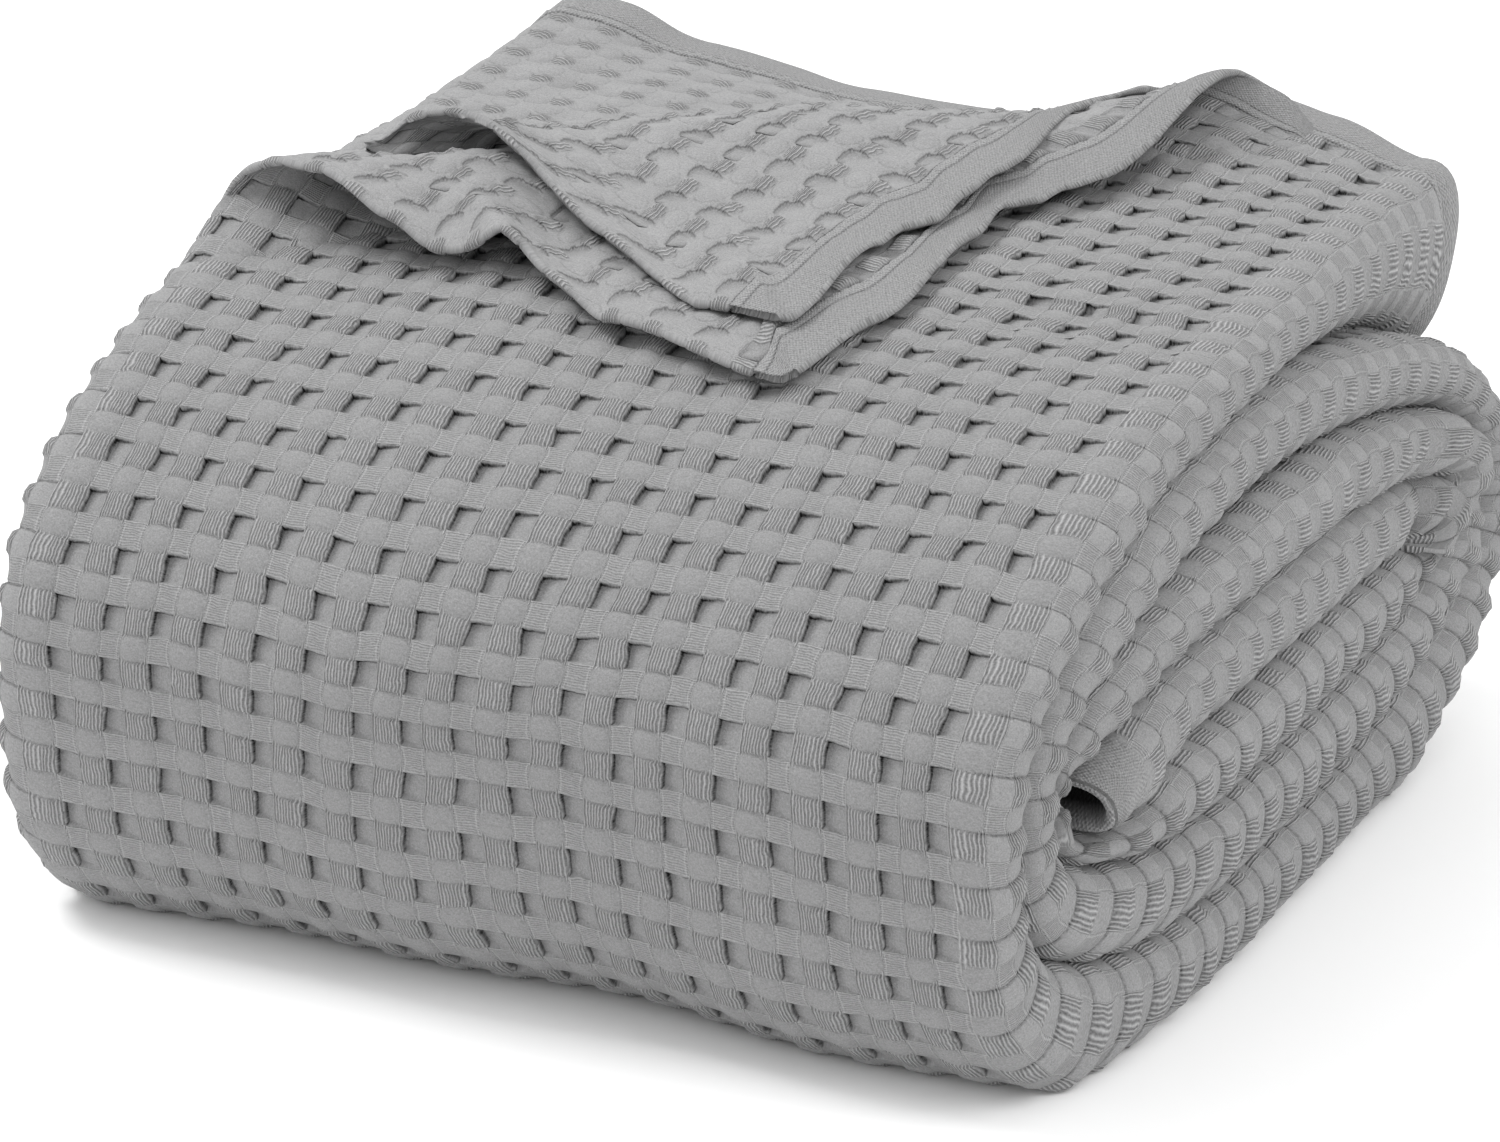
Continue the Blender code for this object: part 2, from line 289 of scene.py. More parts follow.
# The turned corner: its fold line, its plies' sections as (out from that line, height), and how far
# each ply reaches round the fold, against the distance along it.
corner = dict(
    foldX=-10.0, foldY=-2.5, turn=np.radians(38.7), endY=12.3, thickness=0.1,
    clothFrom=-10.0, clothTo=8.0, rowsTo=16.0, weaveAt=9.15,  # what of the cloth is meshed
    noseFrom=-9.1, nose=0.9, noseDrop=0.9,  # the roll's left side, which the corner hangs over
    liftAt=5.3, liftWide=0.45, lift=0.55,  # the small second arch
    pressOver=3.0, pressTo=20.5, pressFade=3.5,  # where the fold lies pressed and not open
    sink=0.7, sinkFrom=20.7, edgeRise=0.13, edgeWander=0.24, hemGroove=-0.16, rimRound=0.06, hemRound=0.07,
    lowerOpen=((-0.7, -0.35), (-0.3, 0.05), (0.4, 0.25), (0.95, 0.6), (0.95, 0.95), (0.4, 1.27), (-0.4, 1.34),
               (-1.2, 1.16), (-1.9, 0.8), (-2.6, 0.4), (-3.4, 0.2), (-12.5, 0.2)),
    lowerPressed=((-0.7, -0.35), (-0.3, 0.05), (0.5, 0.12), (1.15, 0.25), (1.4, 0.5), (1.1, 0.74), (0.4, 0.8),
                  (-0.5, 0.68), (-1.4, 0.48), (-2.2, 0.3), (-3.0, 0.2), (-12.5, 0.2)),
    upperOpen=((1.8, -0.35), (2.3, 0.05), (2.75, 0.4), (2.75, 0.75), (2.2, 1.08), (1.3, 1.25), (0.2, 1.2),
               (-0.9, 0.98), (-2.0, 0.74), (-3.2, 0.54), (-4.5, 0.46), (-12.0, 0.46)),
    upperPressed=((1.8, -0.35), (2.2, 0.05), (2.5, 0.32), (2.35, 0.6), (1.6, 0.92), (0.6, 1.12), (-0.5, 1.0),
                  (-1.5, 0.76), (-2.5, 0.58), (-3.5, 0.48), (-4.5, 0.46), (-12.0, 0.46)),
    lowerEdge=((0.3, 1.2), (1.5, 2.4), (2.5, 3.8), (3.5, 5.3), (4.3, 6.5), (5.2, 7.1), (5.6, 7.5), (5.9, 8.2),
               (6.5, 9.9), (9.0, 12.7), (11.1, 11.2), (13.6, 8.2), (14.4, 7.0), (15.1, 6.9), (15.7, 6.4),
               (16.5, 6.0), (21.4, 1.2)),
    upperEdge=((4.2, 1.2), (5.5, 2.4), (7.0, 6.9), (8.1, 9.8), (9.5, 10.9), (11.6, 8.3), (12.3, 7.6),
               (13.0, 7.4), (13.7, 6.6), (14.5, 5.9), (17.0, 2.9), (19.2, 1.0)),
)


def acrossFold(x, y):
    # Distance along the fold line and beyond it.
    ahead = np.cos(corner["turn"]), np.sin(corner["turn"])
    ox, oy = x - corner["foldX"], y - corner["foldY"]
    return ox * ahead[0] + oy * ahead[1], -ox * ahead[1] + oy * ahead[0]


# The strip, as rings of its section: outer face, noses at both sides and a hidden inner face.
strip = dict(
    nose=0.9, full=0.8, phase=0.65, hem=1.08, coreEndY=-6.05, endStep=0.03, lowest=0.02,
    cuts=(100, 250, 400, 800),  # angles where one length ends and the next starts
    flatCells=17.85, noseCells=2.5, innerCells=1.0, fineCells=1.7, plainColumns=5, hiddenColumns=4,
    loops=0.05, lumps=0.06, drawn=0.24,
    ruffle=0.55, pleat=0.3, bunchAngle=600.0, bunchOver=120.0, bunchFrom=0.72,  # where it bunches at the back
    plies=3, plyRows=5, plyEdge=0.16, plyGroove=0.2, plyOut=0.1,  # the loose end's edge
    # The core's mouth: rings as (part of the way in, reach outwards), darkened by painted shade from
    # mouthDark down.
    mouthDark=0.35,
    mouth=((0.03, 0.05), (0.1, 0.08), (0.19, 0.06), (0.26, -0.03), (0.32, -0.16), (0.38, -0.4), (0.5, -0.7),
           (0.7, -0.9), (0.97, -0.95)),
)


def stripColumns(allFine):
    # Weave positions across the section, from the left inner side over the outer face to the right.
    low = -strip["noseCells"] - strip["innerCells"]
    high = strip["flatCells"] + strip["noseCells"] + strip["innerCells"]
    phase = strip["phase"]
    shifted = nodesBetween(weave["uNodes"], low + phase, high + phase) - phase
    if allFine:
        return shifted, np.ones_like(shifted)
    # Inner turns show at their sides alone, and are plain between.
    left, right = strip["fineCells"], strip["flatCells"] - strip["fineCells"]
    middle = np.linspace(left, right, strip["plainColumns"] + 2)[1:-1]
    columns = np.concatenate([shifted[shifted <= left], middle, shifted[shifted >= right]])
    fine = (columns <= left) | (columns >= right)
    return columns, fine.astype(float)


def stripRows(low, high):
    # Rows between two ends, with one spare beyond each so that neighbouring pieces meet smoothly.
    step = strip["endStep"]
    inner = nodesBetween(weave["vNodes"], low, high)[1:-1]
    inner = inner[(inner > low + 1.5 * step) & (inner < high - 1.5 * step)]
    return np.concatenate([[low - step, low, low + step], inner, [high - step, high, high + step]])


def turnedBack(angle, x, y):
    # 1 where the top shows the cloth's reverse, behind the turned corner.
    beyond = acrossFold(x, y)[1]
    return ease((beyond - 1.2) / 0.6) * (angle < 95)


def stripSection(angle, across, v):
    # Points of the strip's section, how far each stands out on its nose, and the section's middle line.
    left, right = smooth(roll["left"], angle), smooth(roll["right"], angle)
    side = np.where(across < strip["flatCells"] / 2, -1.0, 1.0)
    beyond = np.where(across < 0, -across, np.maximum(across - strip["flatCells"], 0))
    turned = np.clip(beyond / strip["noseCells"], 0, 1) * np.pi
    # Floats stand out in loops along a fold, and tight bends bunch it into ruffles.
    loops = strip["loops"] * np.cos(2 * np.pi * (v - 0.245))
    loops = loops + strip["lumps"] * noise(v * 0.9, side * 3 + angle * 0.01, 5)
    behind = np.cos(np.radians(angle))
    bunch = ease((angle - strip["bunchAngle"]) / strip["bunchOver"])
    bunch = bunch * ease((behind - strip["bunchFrom"]) / 0.12)
    loops = loops + strip["ruffle"] * bunch * noise(v * 0.8, angle * 0.004, 6)
    nose = strip["nose"]
    low, high = left + nose, right - nose
    xFlat = low + (high - low) * np.clip(across / strip["flatCells"], 0, 1)
    outerY, outerZ = outerFace(angle, xFlat)
    innerY, innerZ = innerFace(angle, xFlat)
    midY, midZ = (outerY + innerY) / 2, (outerZ + innerZ) / 2
    halfY, halfZ = (outerY - innerY) / 2, (outerZ - innerZ) / 2
    out = np.sin(turned) ** strip["full"]
    over = np.sign(np.cos(turned)) * np.abs(np.cos(turned)) ** strip["full"]
    loops = loops * (1 - turnedBack(angle, xFlat, outerY) * (side < 0))
    x = xFlat + side * (nose + loops) * out
    x = x - side * np.maximum(beyond - strip["noseCells"], 0)
    pleat = strip["pleat"] * bunch * noise(v * 0.9 + 7, angle * 0.004, 7) * out * side
    over = over + 0.6 * pleat
    drawn = strip["drawn"] * out * (side > 0) * ease((behind + 0.97) / 0.25)
    points = np.stack([x, midY + halfY * over + pleat + drawn, midZ + halfZ * over], axis=-1)
    return points, np.sin(turned), np.stack([xFlat, midY, midZ], axis=-1)


def zipped(top, bottom):
    # Triangles between two runs of points that share both ends.
    a, b = 1, 1
    lastA, lastB = len(top) - 1, len(bottom) - 1
    faces = [(top[0], top[1], bottom[1])]
    while a < lastA - 1 or b < lastB - 1:
        if b >= lastB - 1 or (a < lastA - 1 and (a + 1) * lastB <= (b + 1) * lastA):
            faces.append((top[a], top[a + 1], bottom[b]))
            a += 1
        else:
            faces.append((bottom[b + 1], bottom[b], top[a]))
            b += 1
    faces.append((top[lastA - 1], top[lastA], bottom[lastB - 1]))
    return np.array(faces)


def endSteps(kind, run):
    # The rings that close an end of the strip: how far in each lies, and how far out.
    if kind == "flat":
        return ()
    if kind == "mouth":
        return strip["mouth"]
    steps = []
    parts = np.linspace(0, 1, strip["plies"] * strip["plyRows"] + 1)[1:-1]
    for part in np.concatenate([[0.02], parts, [0.985]]):
        ply = np.floor(part * strip["plies"])
        bulge = np.abs(np.sin(np.pi * part * strip["plies"])) ** 0.6
        uneven = 0.6 + 0.5 * hashed(ply, 0, 12) + 0.4 * noise(run * 0.45, ply * 3, 13)
        reach = strip["plyEdge"] * uneven + strip["plyGroove"] * (bulge - 1) + strip["plyOut"]
        steps.append((part, np.where(part < 0.05, 0.0, reach)[:, None]))
    return steps


def closeEnd(ring, ringPoints, centres, outward, kind, first):
    # Closes an end from its ring inwards: flat, as the rounded edges of its plies, or as a mouth.
    width = len(ring)
    rings, added, dark = [ring], [], []
    for part, reach in endSteps(kind, ringPoints[:, 0]):
        rings.append(first + len(added) * width + np.arange(width))
        added.append(ringPoints * (1 - part) + centres * part + outward * reach)
        # A mouth's rings carry how much painted shade darkens them, more the deeper they lie.
        dark.append(np.clip(-reach / strip["mouthDark"], 0, 1) if kind == "mouth" else 0.0)
    quads = [np.stack([near, np.roll(near, -1), np.roll(far, -1), far], axis=-1)
             for near, far in zip(rings[:-1], rings[1:])]
    inner, outerCount = rings[-1], width - strip["hiddenColumns"]
    top = inner[:outerCount]
    bottom = np.concatenate([inner[:1], inner[outerCount:][::-1], inner[outerCount - 1:outerCount]])
    return added, quads, zipped(top, bottom), np.repeat(dark, width)


def stripPiece(name, low, high, allFine, ends=("flat", "flat")):
    # A length of the strip between two rows, closed at both ends.
    rows = stripRows(low, high)
    columns, fine = stripColumns(allFine)
    u = np.tile(columns + strip["phase"], (len(rows), 1))
    v = np.tile(rows[:, None], (1, len(columns)))
    inWeave = ease(v / 0.06) * ease((coreRow - strip["hem"] / row - v) / 0.06)
    shiftU, shiftV = unevenWeave(u, v)
    lengths = v * row + strip["hem"] + shiftV * ease(v / 1.5)
    angles = np.interp(lengths, pathLengths, pathAngles)
    points, onNose, centres = stripSection(angles, u - strip["phase"] + shiftU, v)
    # The hidden inner side closes each ring with a few columns.
    count = strip["hiddenColumns"]
    hidden, middles = [], []
    for k in range(1, count + 1):
        part = k / (count + 1)
        x = points[:, -1, 0] * (1 - part) + points[:, 0, 0] * part
        y, z = innerFace(angles[:, 0], x)
        hidden.append(np.stack([x, y, z], axis=-1))
        middles.append(centres[:, -1] * (1 - part) + centres[:, 0] * part)
    back = turnedBack(angles, points[..., 0], points[..., 1])
    points = np.concatenate([points, np.stack(hidden, axis=1)], axis=1)
    centres = np.concatenate([centres, np.stack(middles, axis=1)], axis=1)
    normal = normalsOf(points, True)
    fold = ease((onNose - 0.1) / 0.4)
    face = faceRelief(u, v) * (1 - fold) + foldRelief(u, v) * fold
    woven = face * (1 - back) + 0.8 * backRelief(u, v) * back
    height = woven * inWeave + hemRelief(u, v) * (1 - inWeave) * (v < 1)
    height = height * fine
    spare = np.zeros((len(rows), count))
    height = np.concatenate([height, spare], axis=1)
    points = points + normal * height[..., None]
    points[..., 2] = np.maximum(points[..., 2], strip["lowest"])
    # Beneath, the weave runs on from both sides and meets itself in the middle.
    spread = strip["flatCells"] / (count + 1) * np.arange(1, count // 2 + 1)
    underneath = np.concatenate([u[0, -1] + spread, u[0, 0] - spread[::-1]])
    u = np.concatenate([u, np.tile(underneath, (len(rows), 1))], axis=1)[1:-1]
    v = np.tile(rows[1:-1, None], (1, u.shape[1]))
    hemMask = 1 - np.concatenate([inWeave, spare], axis=1)[1:-1]
    backMask = np.concatenate([back, spare], axis=1)[1:-1]
    foldMask = np.concatenate([fold, spare], axis=1)[1:-1]
    points, centres = points[1:-1], centres[1:-1]
    rowCount, width = u.shape
    i, j = np.meshgrid(np.arange(rowCount - 1), np.arange(width), indexing="ij")
    k = (j + 1) % width
    sides = np.stack([i * width + j, (i + 1) * width + j, (i + 1) * width + k, i * width + k], axis=-1)
    allPoints, uv = [points.reshape(-1, 3)], [np.stack([u, v], axis=-1).reshape(-1, 2)]
    smoothFaces, flatFaces = [sides.reshape(-1, 4)], []
    total = rowCount * width
    darkMask = [np.zeros(total)]
    for isLast, kind in enumerate(ends):
        at = rowCount - 1 if isLast else 0
        outward = (points[at] - points[at - 4 if isLast else 4]).mean(axis=0)
        outward = outward / np.linalg.norm(outward)
        edge = at * width + np.arange(width)
        added, quads, triangles, dark = closeEnd(edge, points[at], centres[at], outward, kind, total)
        total += len(added) * width
        darkMask.append(dark)
        allPoints += added
        # A closed end is plain cloth, so its UV follows its place.
        uv += [np.stack([ring[:, 0], 0.7 * ring[:, 2] - 30], axis=-1) for ring in added]
        turn = -1 if isLast else 1
        smoothFaces += [quad[:, ::turn] for quad in quads]
        flatFaces.append(triangles[:, ::turn])
    extra = total - rowCount * width
    masks = {
        "hem": np.concatenate([hemMask.ravel(), np.ones(extra)]),
        "reverse": np.concatenate([backMask.ravel(), np.zeros(extra)]),
        "fold": np.concatenate([foldMask.ravel(), np.zeros(extra)]),
        "deep": np.concatenate(darkMask),
    }
    return meshPiece(name, np.concatenate(allPoints), smoothFaces, flatFaces, np.concatenate(uv), masks)


def rowAt(angle):
    # The middle of a row of crossings near this angle, where a seam shows least.
    return np.floor((np.interp(angle, pathAngles, pathLengths) - strip["hem"]) / row) + weave["crossV"]


# The strip's last quarter turn stops where its hem shows beside the core's mouth.
coreFace = outerFace(pathAngles, np.zeros_like(pathAngles))[0]
nearCore = pathAngles > roll["coreAngle"] - 90
coreEnd = np.interp(-strip["coreEndY"], -coreFace[nearCore], pathLengths[nearCore])
coreRow = (coreEnd - strip["hem"]) / row
looseRow = -strip["hem"] / row
topCut, frontCut, underCut, innerCut = [rowAt(angle) for angle in strip["cuts"]]
rollPieces = [
    stripPiece("strip_top", looseRow, topCut, True, ("edges", "flat")),
    stripPiece("strip_front", topCut, frontCut, True),
    stripPiece("strip_under_back", frontCut, underCut, True),
    stripPiece("strip_inner_turns", underCut, innerCut, False),
    stripPiece("strip_core", innerCut, coreRow, False, ("flat", "mouth")),
]


def topHeight(x, y):
    # Height of the strip's top face, falling away over its left nose.
    angles = np.linspace(roll["looseAngle"], 181, 80)
    grid = np.linspace(-11, 10, 43)
    yEven = np.linspace(-9, 12, 211)
    surface = []
    for gx in grid:
        py, pz = outerFace(angles, np.full_like(angles, gx))
        surface.append(np.interp(yEven, py[::-1], pz[::-1]))
    surface = np.array(surface)
    fx = np.clip((x - grid[0]) / (grid[1] - grid[0]), 0, len(grid) - 1.001)
    fy = np.clip((y - yEven[0]) / (yEven[1] - yEven[0]), 0, len(yEven) - 1.001)
    ix, iy = fx.astype(int), fy.astype(int)
    tx, ty = fx - ix, fy - iy
    low = surface[ix, iy] * (1 - tx) + surface[ix + 1, iy] * tx
    high = surface[ix, iy + 1] * (1 - tx) + surface[ix + 1, iy + 1] * tx
    over = np.clip((corner["noseFrom"] - x) / corner["nose"], 0, 1)
    drop = corner["noseDrop"] * (1 - (1 - over ** 2.5) ** 0.4)
    drop = drop + 2 * np.maximum(corner["noseFrom"] - corner["nose"] - x, 0)
    return low * (1 - ty) + high * ty - drop


def sectionAt(along, table):
    # A ply's section, its corners rounded, at distances along it.
    places = np.array(table, float)
    length = np.concatenate([[0], np.cumsum(np.hypot(*np.diff(places, axis=0).T))])
    fine = np.linspace(0, length[-1], 400)
    n, h = np.interp(fine, length, places[:, 0]), np.interp(fine, length, places[:, 1])
    kernel = np.hanning(17)[1:-1]
    kernel = kernel / kernel.sum()
    pad = len(kernel) // 2
    n = np.convolve(np.pad(n, pad, mode="reflect", reflect_type="odd"), kernel, mode="valid")
    h = np.convolve(np.pad(h, pad, mode="reflect", reflect_type="odd"), kernel, mode="valid")
    return np.interp(along, fine, n), np.interp(along, fine, h)


def turnedPoint(q, along, wanted, ply):
    # Where cloth lies that is this far along the fold and round it.
    ahead = np.array([np.cos(corner["turn"]), np.sin(corner["turn"])])
    press = np.clip((q - ply["pressFrom"]) / corner["pressOver"], 0, 1)
    press = press * np.clip((corner["pressTo"] - q) / corner["pressFade"], 0, 1)
    n0, h0 = sectionAt(along, corner[ply["open"]])
    n1, h1 = sectionAt(along, corner[ply["pressed"]])
    n = n0 + (n1 - n0) * press
    h = (h0 + (h1 - h0) * press) * (1 - smooth(ply["lower"], q))
    nearEdge = ease((along / wanted - 0.55) / 0.45) * ease((q - 1.0) / 2.0)
    h = h + ply["lift"] * np.exp(-((q - corner["liftAt"]) / corner["liftWide"]) ** 2) * nearEdge
    # At its far end the fold sinks into the strip's own hem.
    h = h - corner["sink"] * ease(q - corner["sinkFrom"])
    # Edges lie in slow waves.
    h = h + corner["edgeRise"] * nearEdge * (1 + noise(q * 0.55, 0.0, ply["seed"]))
    n = n + corner["edgeWander"] * nearEdge * noise(q * 0.6, 0.0, ply["seed"] + 1)
    x = corner["foldX"] + q * ahead[0] - n * ahead[1]
    y = corner["foldY"] + q * ahead[1] + n * ahead[0]
    return np.stack([x, y, topHeight(x, y) + h], axis=-1)


def cornerPiece(name, ply):
    # A turned ply, meshed on its own weave, from its root under the fold to its left edge and hem.
    dx, dy = np.cos(corner["turn"]), np.sin(corner["turn"])
    phase = strip["phase"] + corner["weaveAt"]
    u = nodesBetween(weave["uNodes"], corner["clothFrom"] + phase, corner["clothTo"] + phase)
    v = nodesBetween(weave["vNodes"], looseRow, corner["rowsTo"])
    uu, vv = np.meshgrid(u, v, indexing="ij")
    clothX = uu - phase
    clothY = corner["endY"] - (vv * row + strip["hem"])
    q, beyond = acrossFold(clothX, clothY)
    w = beyond - ply["crease"]
    edge = corner[ply["edge"]]
    reach = np.minimum(q * dx / dy, (corner["endY"] - corner["foldY"] - q * dy) / dx)
    reach = np.maximum(reach - ply["crease"] + ply["root"], 0.3)
    wanted = smooth(edge, q)
    along = (w + ply["root"]) * wanted / reach
    inside = (along > -0.05) & (q > edge[0][0] - 0.3) & (q < edge[-1][0] + 0.5)
    points = turnedPoint(q, np.maximum(along, 0), np.maximum(wanted, 1), ply)
    normal = normalsOf(points, False)
    inWeave = ease(vv / 0.06)
    hem = hemRelief(uu, vv)
    # Below is the face of the weave and above, as it is turned over, its reverse. With slots, the
    # first row by the hem has open pockets on both.
    half = corner["thickness"] / 2
    firstRow = ease((0.55 - vv) / 0.1) * ply["slots"]
    reverse = backRelief(uu, vv) * (1 - firstRow) + 1.1 * faceRelief(uu, vv) * firstRow
    rimSoft = 0.3 + 0.7 * ease((uu - u[0]) / 0.6)
    outer = (reverse * inWeave + hem * (1 - inWeave)) * rimSoft + half
    inner = 0.7 * faceRelief(uu, vv) * inWeave + 0.5 * hem * (1 - inWeave) + half
    upper = points + normal * outer[..., None]
    under = points - normal * inner[..., None]
    ring = uu.size
    number = np.arange(ring).reshape(uu.shape)
    keep = inside[:-1, :-1] & inside[1:, :-1] & inside[:-1, 1:] & inside[1:, 1:]
    corners = (number[:-1, :-1], number[1:, :-1], number[1:, 1:], number[:-1, 1:])
    faces = np.stack([part[keep] for part in corners], axis=-1)
    edges = np.concatenate([faces[:, [0, 1]], faces[:, [1, 2]], faces[:, [2, 3]], faces[:, [3, 0]]])
    key = edges[:, 0].astype(np.int64) * ring + edges[:, 1]
    twin = edges[:, 1].astype(np.int64) * ring + edges[:, 0]
    rim = edges[~np.isin(key, twin)]
    # The rim is rounded; where a hem ends, its two plies part in a groove.
    slopeU = np.gradient(points, axis=0)
    slopeU = slopeU / np.maximum(np.linalg.norm(slopeU, axis=2, keepdims=True), 1e-9)
    slopeV = np.gradient(points, axis=1)
    slopeV = slopeV / np.maximum(np.linalg.norm(slopeV, axis=2, keepdims=True), 1e-9)
    isLeft = (uu == u[0])[..., None]
    isHem = (vv == v[0])[..., None]
    lips = np.where(vv < -0.05, corner["hemGroove"], corner["rimRound"])[..., None]
    middle = (upper + under) / 2 - slopeU * isLeft * lips - slopeV * isHem * corner["hemRound"]
    sides = [np.stack([rim[:, 1] + near, rim[:, 0] + near, rim[:, 0] + far, rim[:, 1] + far], axis=-1)
             for near, far in ((0, ring), (ring, 2 * ring))]
    allFaces = np.concatenate([faces, faces[:, ::-1] + 2 * ring] + sides)
    allPoints = np.concatenate([upper.reshape(-1, 3), middle.reshape(-1, 3), under.reshape(-1, 3)])
    uv = np.tile(np.stack([uu, vv], axis=-1).reshape(-1, 2), (3, 1))
    hemMask = np.tile((1 - inWeave).ravel(), 3)
    backMask = np.concatenate([(1 - firstRow).ravel(), np.ones(ring), np.zeros(ring)])
    used = np.unique(allFaces)
    renumber = np.zeros(len(allPoints), int)
    renumber[used] = np.arange(len(used))
    none = np.zeros(len(used))
    masks = {"hem": hemMask[used], "reverse": backMask[used], "fold": none, "deep": none}
    return meshPiece(name, allPoints[used], [renumber[allFaces]], [], uv[used], masks)


lowerPly = dict(open="lowerOpen", pressed="lowerPressed", edge="lowerEdge", crease=0.0, root=0.7,
                pressFrom=2.5, lift=corner["lift"], slots=1.0, seed=21,
                lower=((17.0, 0.0), (20.5, 0.4)))
upperPly = dict(open="upperOpen", pressed="upperPressed", edge="upperEdge", crease=2.2, root=0.95,
                pressFrom=4.6, lift=0.0, slots=0.0, seed=31,
                lower=((12.0, 0.0), (16.0, 0.3), (20.0, 0.55)))
cornerLower = cornerPiece("corner_lower", lowerPly)
cornerUpper = cornerPiece("corner_upper", upperPly)


class Graph:
    # Short ways to add nodes to a tree.

    def __init__(self, tree):
        self.tree = tree

    def node(self, kind, inputs=(), **settings):
        made = self.tree.nodes.new(kind)
        for key, value in settings.items():
            setattr(made, key, value)
        for key, value in dict(inputs).items():
            self.feed(made.inputs[key], value)
        return made

    def feed(self, socket, value):
        if isinstance(value, bpy.types.NodeSocket):
            self.tree.links.new(value, socket)
        else:
            socket.default_value = value

    def math(self, operation, *values):
        made = self.tree.nodes.new("ShaderNodeMath")
        made.operation = operation
        for socket, value in zip(made.inputs, values):
            self.feed(socket, value)
        return made.outputs[0]

    def add(self, *values):
        total = values[0]
        for value in values[1:]:
            total = self.math("ADD", total, value)
        return total

    def times(self, *values):
        total = values[0]
        for value in values[1:]:
            total = self.math("MULTIPLY", total, value)
        return total

    def less(self, a, b):
        return self.math("SUBTRACT", a, b)

    def away(self, value, middle, half):
        # Distance from a middle, 1 at half a width.
        return self.times(self.math("ABSOLUTE", self.less(value, middle)), 1 / half)

    def mixed(self, first, second, part):
        # The first value where part is 0, the second where it is 1.
        return self.add(self.times(first, self.less(1.0, part)), self.times(second, part))

    def rise(self, value, low, high):
        # 0 below low, 1 above high, eased between.
        made = self.node("ShaderNodeMapRange", interpolation_type="SMOOTHSTEP")
        self.feed(made.inputs["Value"], value)
        self.feed(made.inputs["From Min"], low)
        self.feed(made.inputs["From Max"], high)
        return made.outputs["Result"]

    def between(self, value, low, high, soft):
        # 1 from low to high, with softened ends.
        start = self.rise(value, low - soft, low + soft)
        return self.times(start, self.less(1.0, self.rise(value, high - soft, high + soft)))

    def peak(self, value, at, width):
        # 1 at a place, falling to 0 at its width either side.
        return self.less(1.0, self.rise(self.math("ABSOLUTE", self.less(value, at)), 0.0, width))

    def noise(self, vector, scale, detail=2.0):
        inputs = {"Vector": vector, "Scale": scale, "Detail": detail, "Roughness": 0.6}
        return self.node("ShaderNodeTexNoise", inputs).outputs["Fac"]


def newGroup(name, inputs, outputs):
    tree = bpy.data.node_groups.new(name, "ShaderNodeTree")
    for label, kind in inputs:
        tree.interface.new_socket(label, in_out="INPUT", socket_type=kind)
    for label, kind in outputs:
        tree.interface.new_socket(label, in_out="OUTPUT", socket_type=kind)
    return tree, tree.nodes.new("NodeGroupInput"), tree.nodes.new("NodeGroupOutput")


# The cotton's yarns: how many to a cell and how much lighter or darker they make it, with the strengths of
# painted shade in grooves, pockets, creases and the core, and of painted highlights on ridges and edges.
yarn = dict(
    ribs=8.5, lines=22.0, hemRibs=13.0, arcs=15.0, arcAway=0.3, wobble=0.05,
    ridgeHighlight=0.42, groove=0.42, lineTone=0.34, pocketShade=0.93, shade=0.42, crease=0.6, threadAndHighlight=0.3,
    deepShade=0.98, bumpDepth=0.0008, tint=(0.278, 0.278, 0.28),
    roughness=0.92, specular=0.12, sheen=0.12, sheenRoughness=0.6,
)


def clothSockets(g, place):
    # Places within a cell, and the noises that the face, the reverse and the hem share.
    split = g.node("ShaderNodeSeparateXYZ", {"Vector": place})
    across, along = split.outputs[0], split.outputs[1]
    u = g.add(across, g.times(g.less(g.noise(place, 2.3, 1.0), 0.5), yarn["wobble"]))
    v = g.add(along, g.times(g.less(g.noise(place, 3.7, 1.0), 0.5), yarn["wobble"]))
    fuzz, fuzzWide, fleck = g.noise(place, 34.0, 3.0), g.noise(place, 9.0, 2.0), g.noise(place, 20.0, 2.0)
    speckle = g.add(
        g.times(g.less(fuzz, 0.5), 0.9),
        g.times(g.less(fuzzWide, 0.5), 0.25),
        g.times(g.less(fleck, 0.5), 0.55),
    )
    return SimpleNamespace(
        across=across, along=along, u=u, v=v, fu=g.math("FRACT", u), fv=g.math("FRACT", v),
        sway=g.times(g.less(g.noise(place, 5.0, 1.0), 0.5), 6.0), wide=g.noise(place, 1.1, 2.0),
        fuzz=fuzz, fuzzWide=fuzzWide, fleck=fleck, speckle=speckle,
        grain=g.add(g.times(fuzz, 0.4), g.times(fuzzWide, 0.2)),
    )


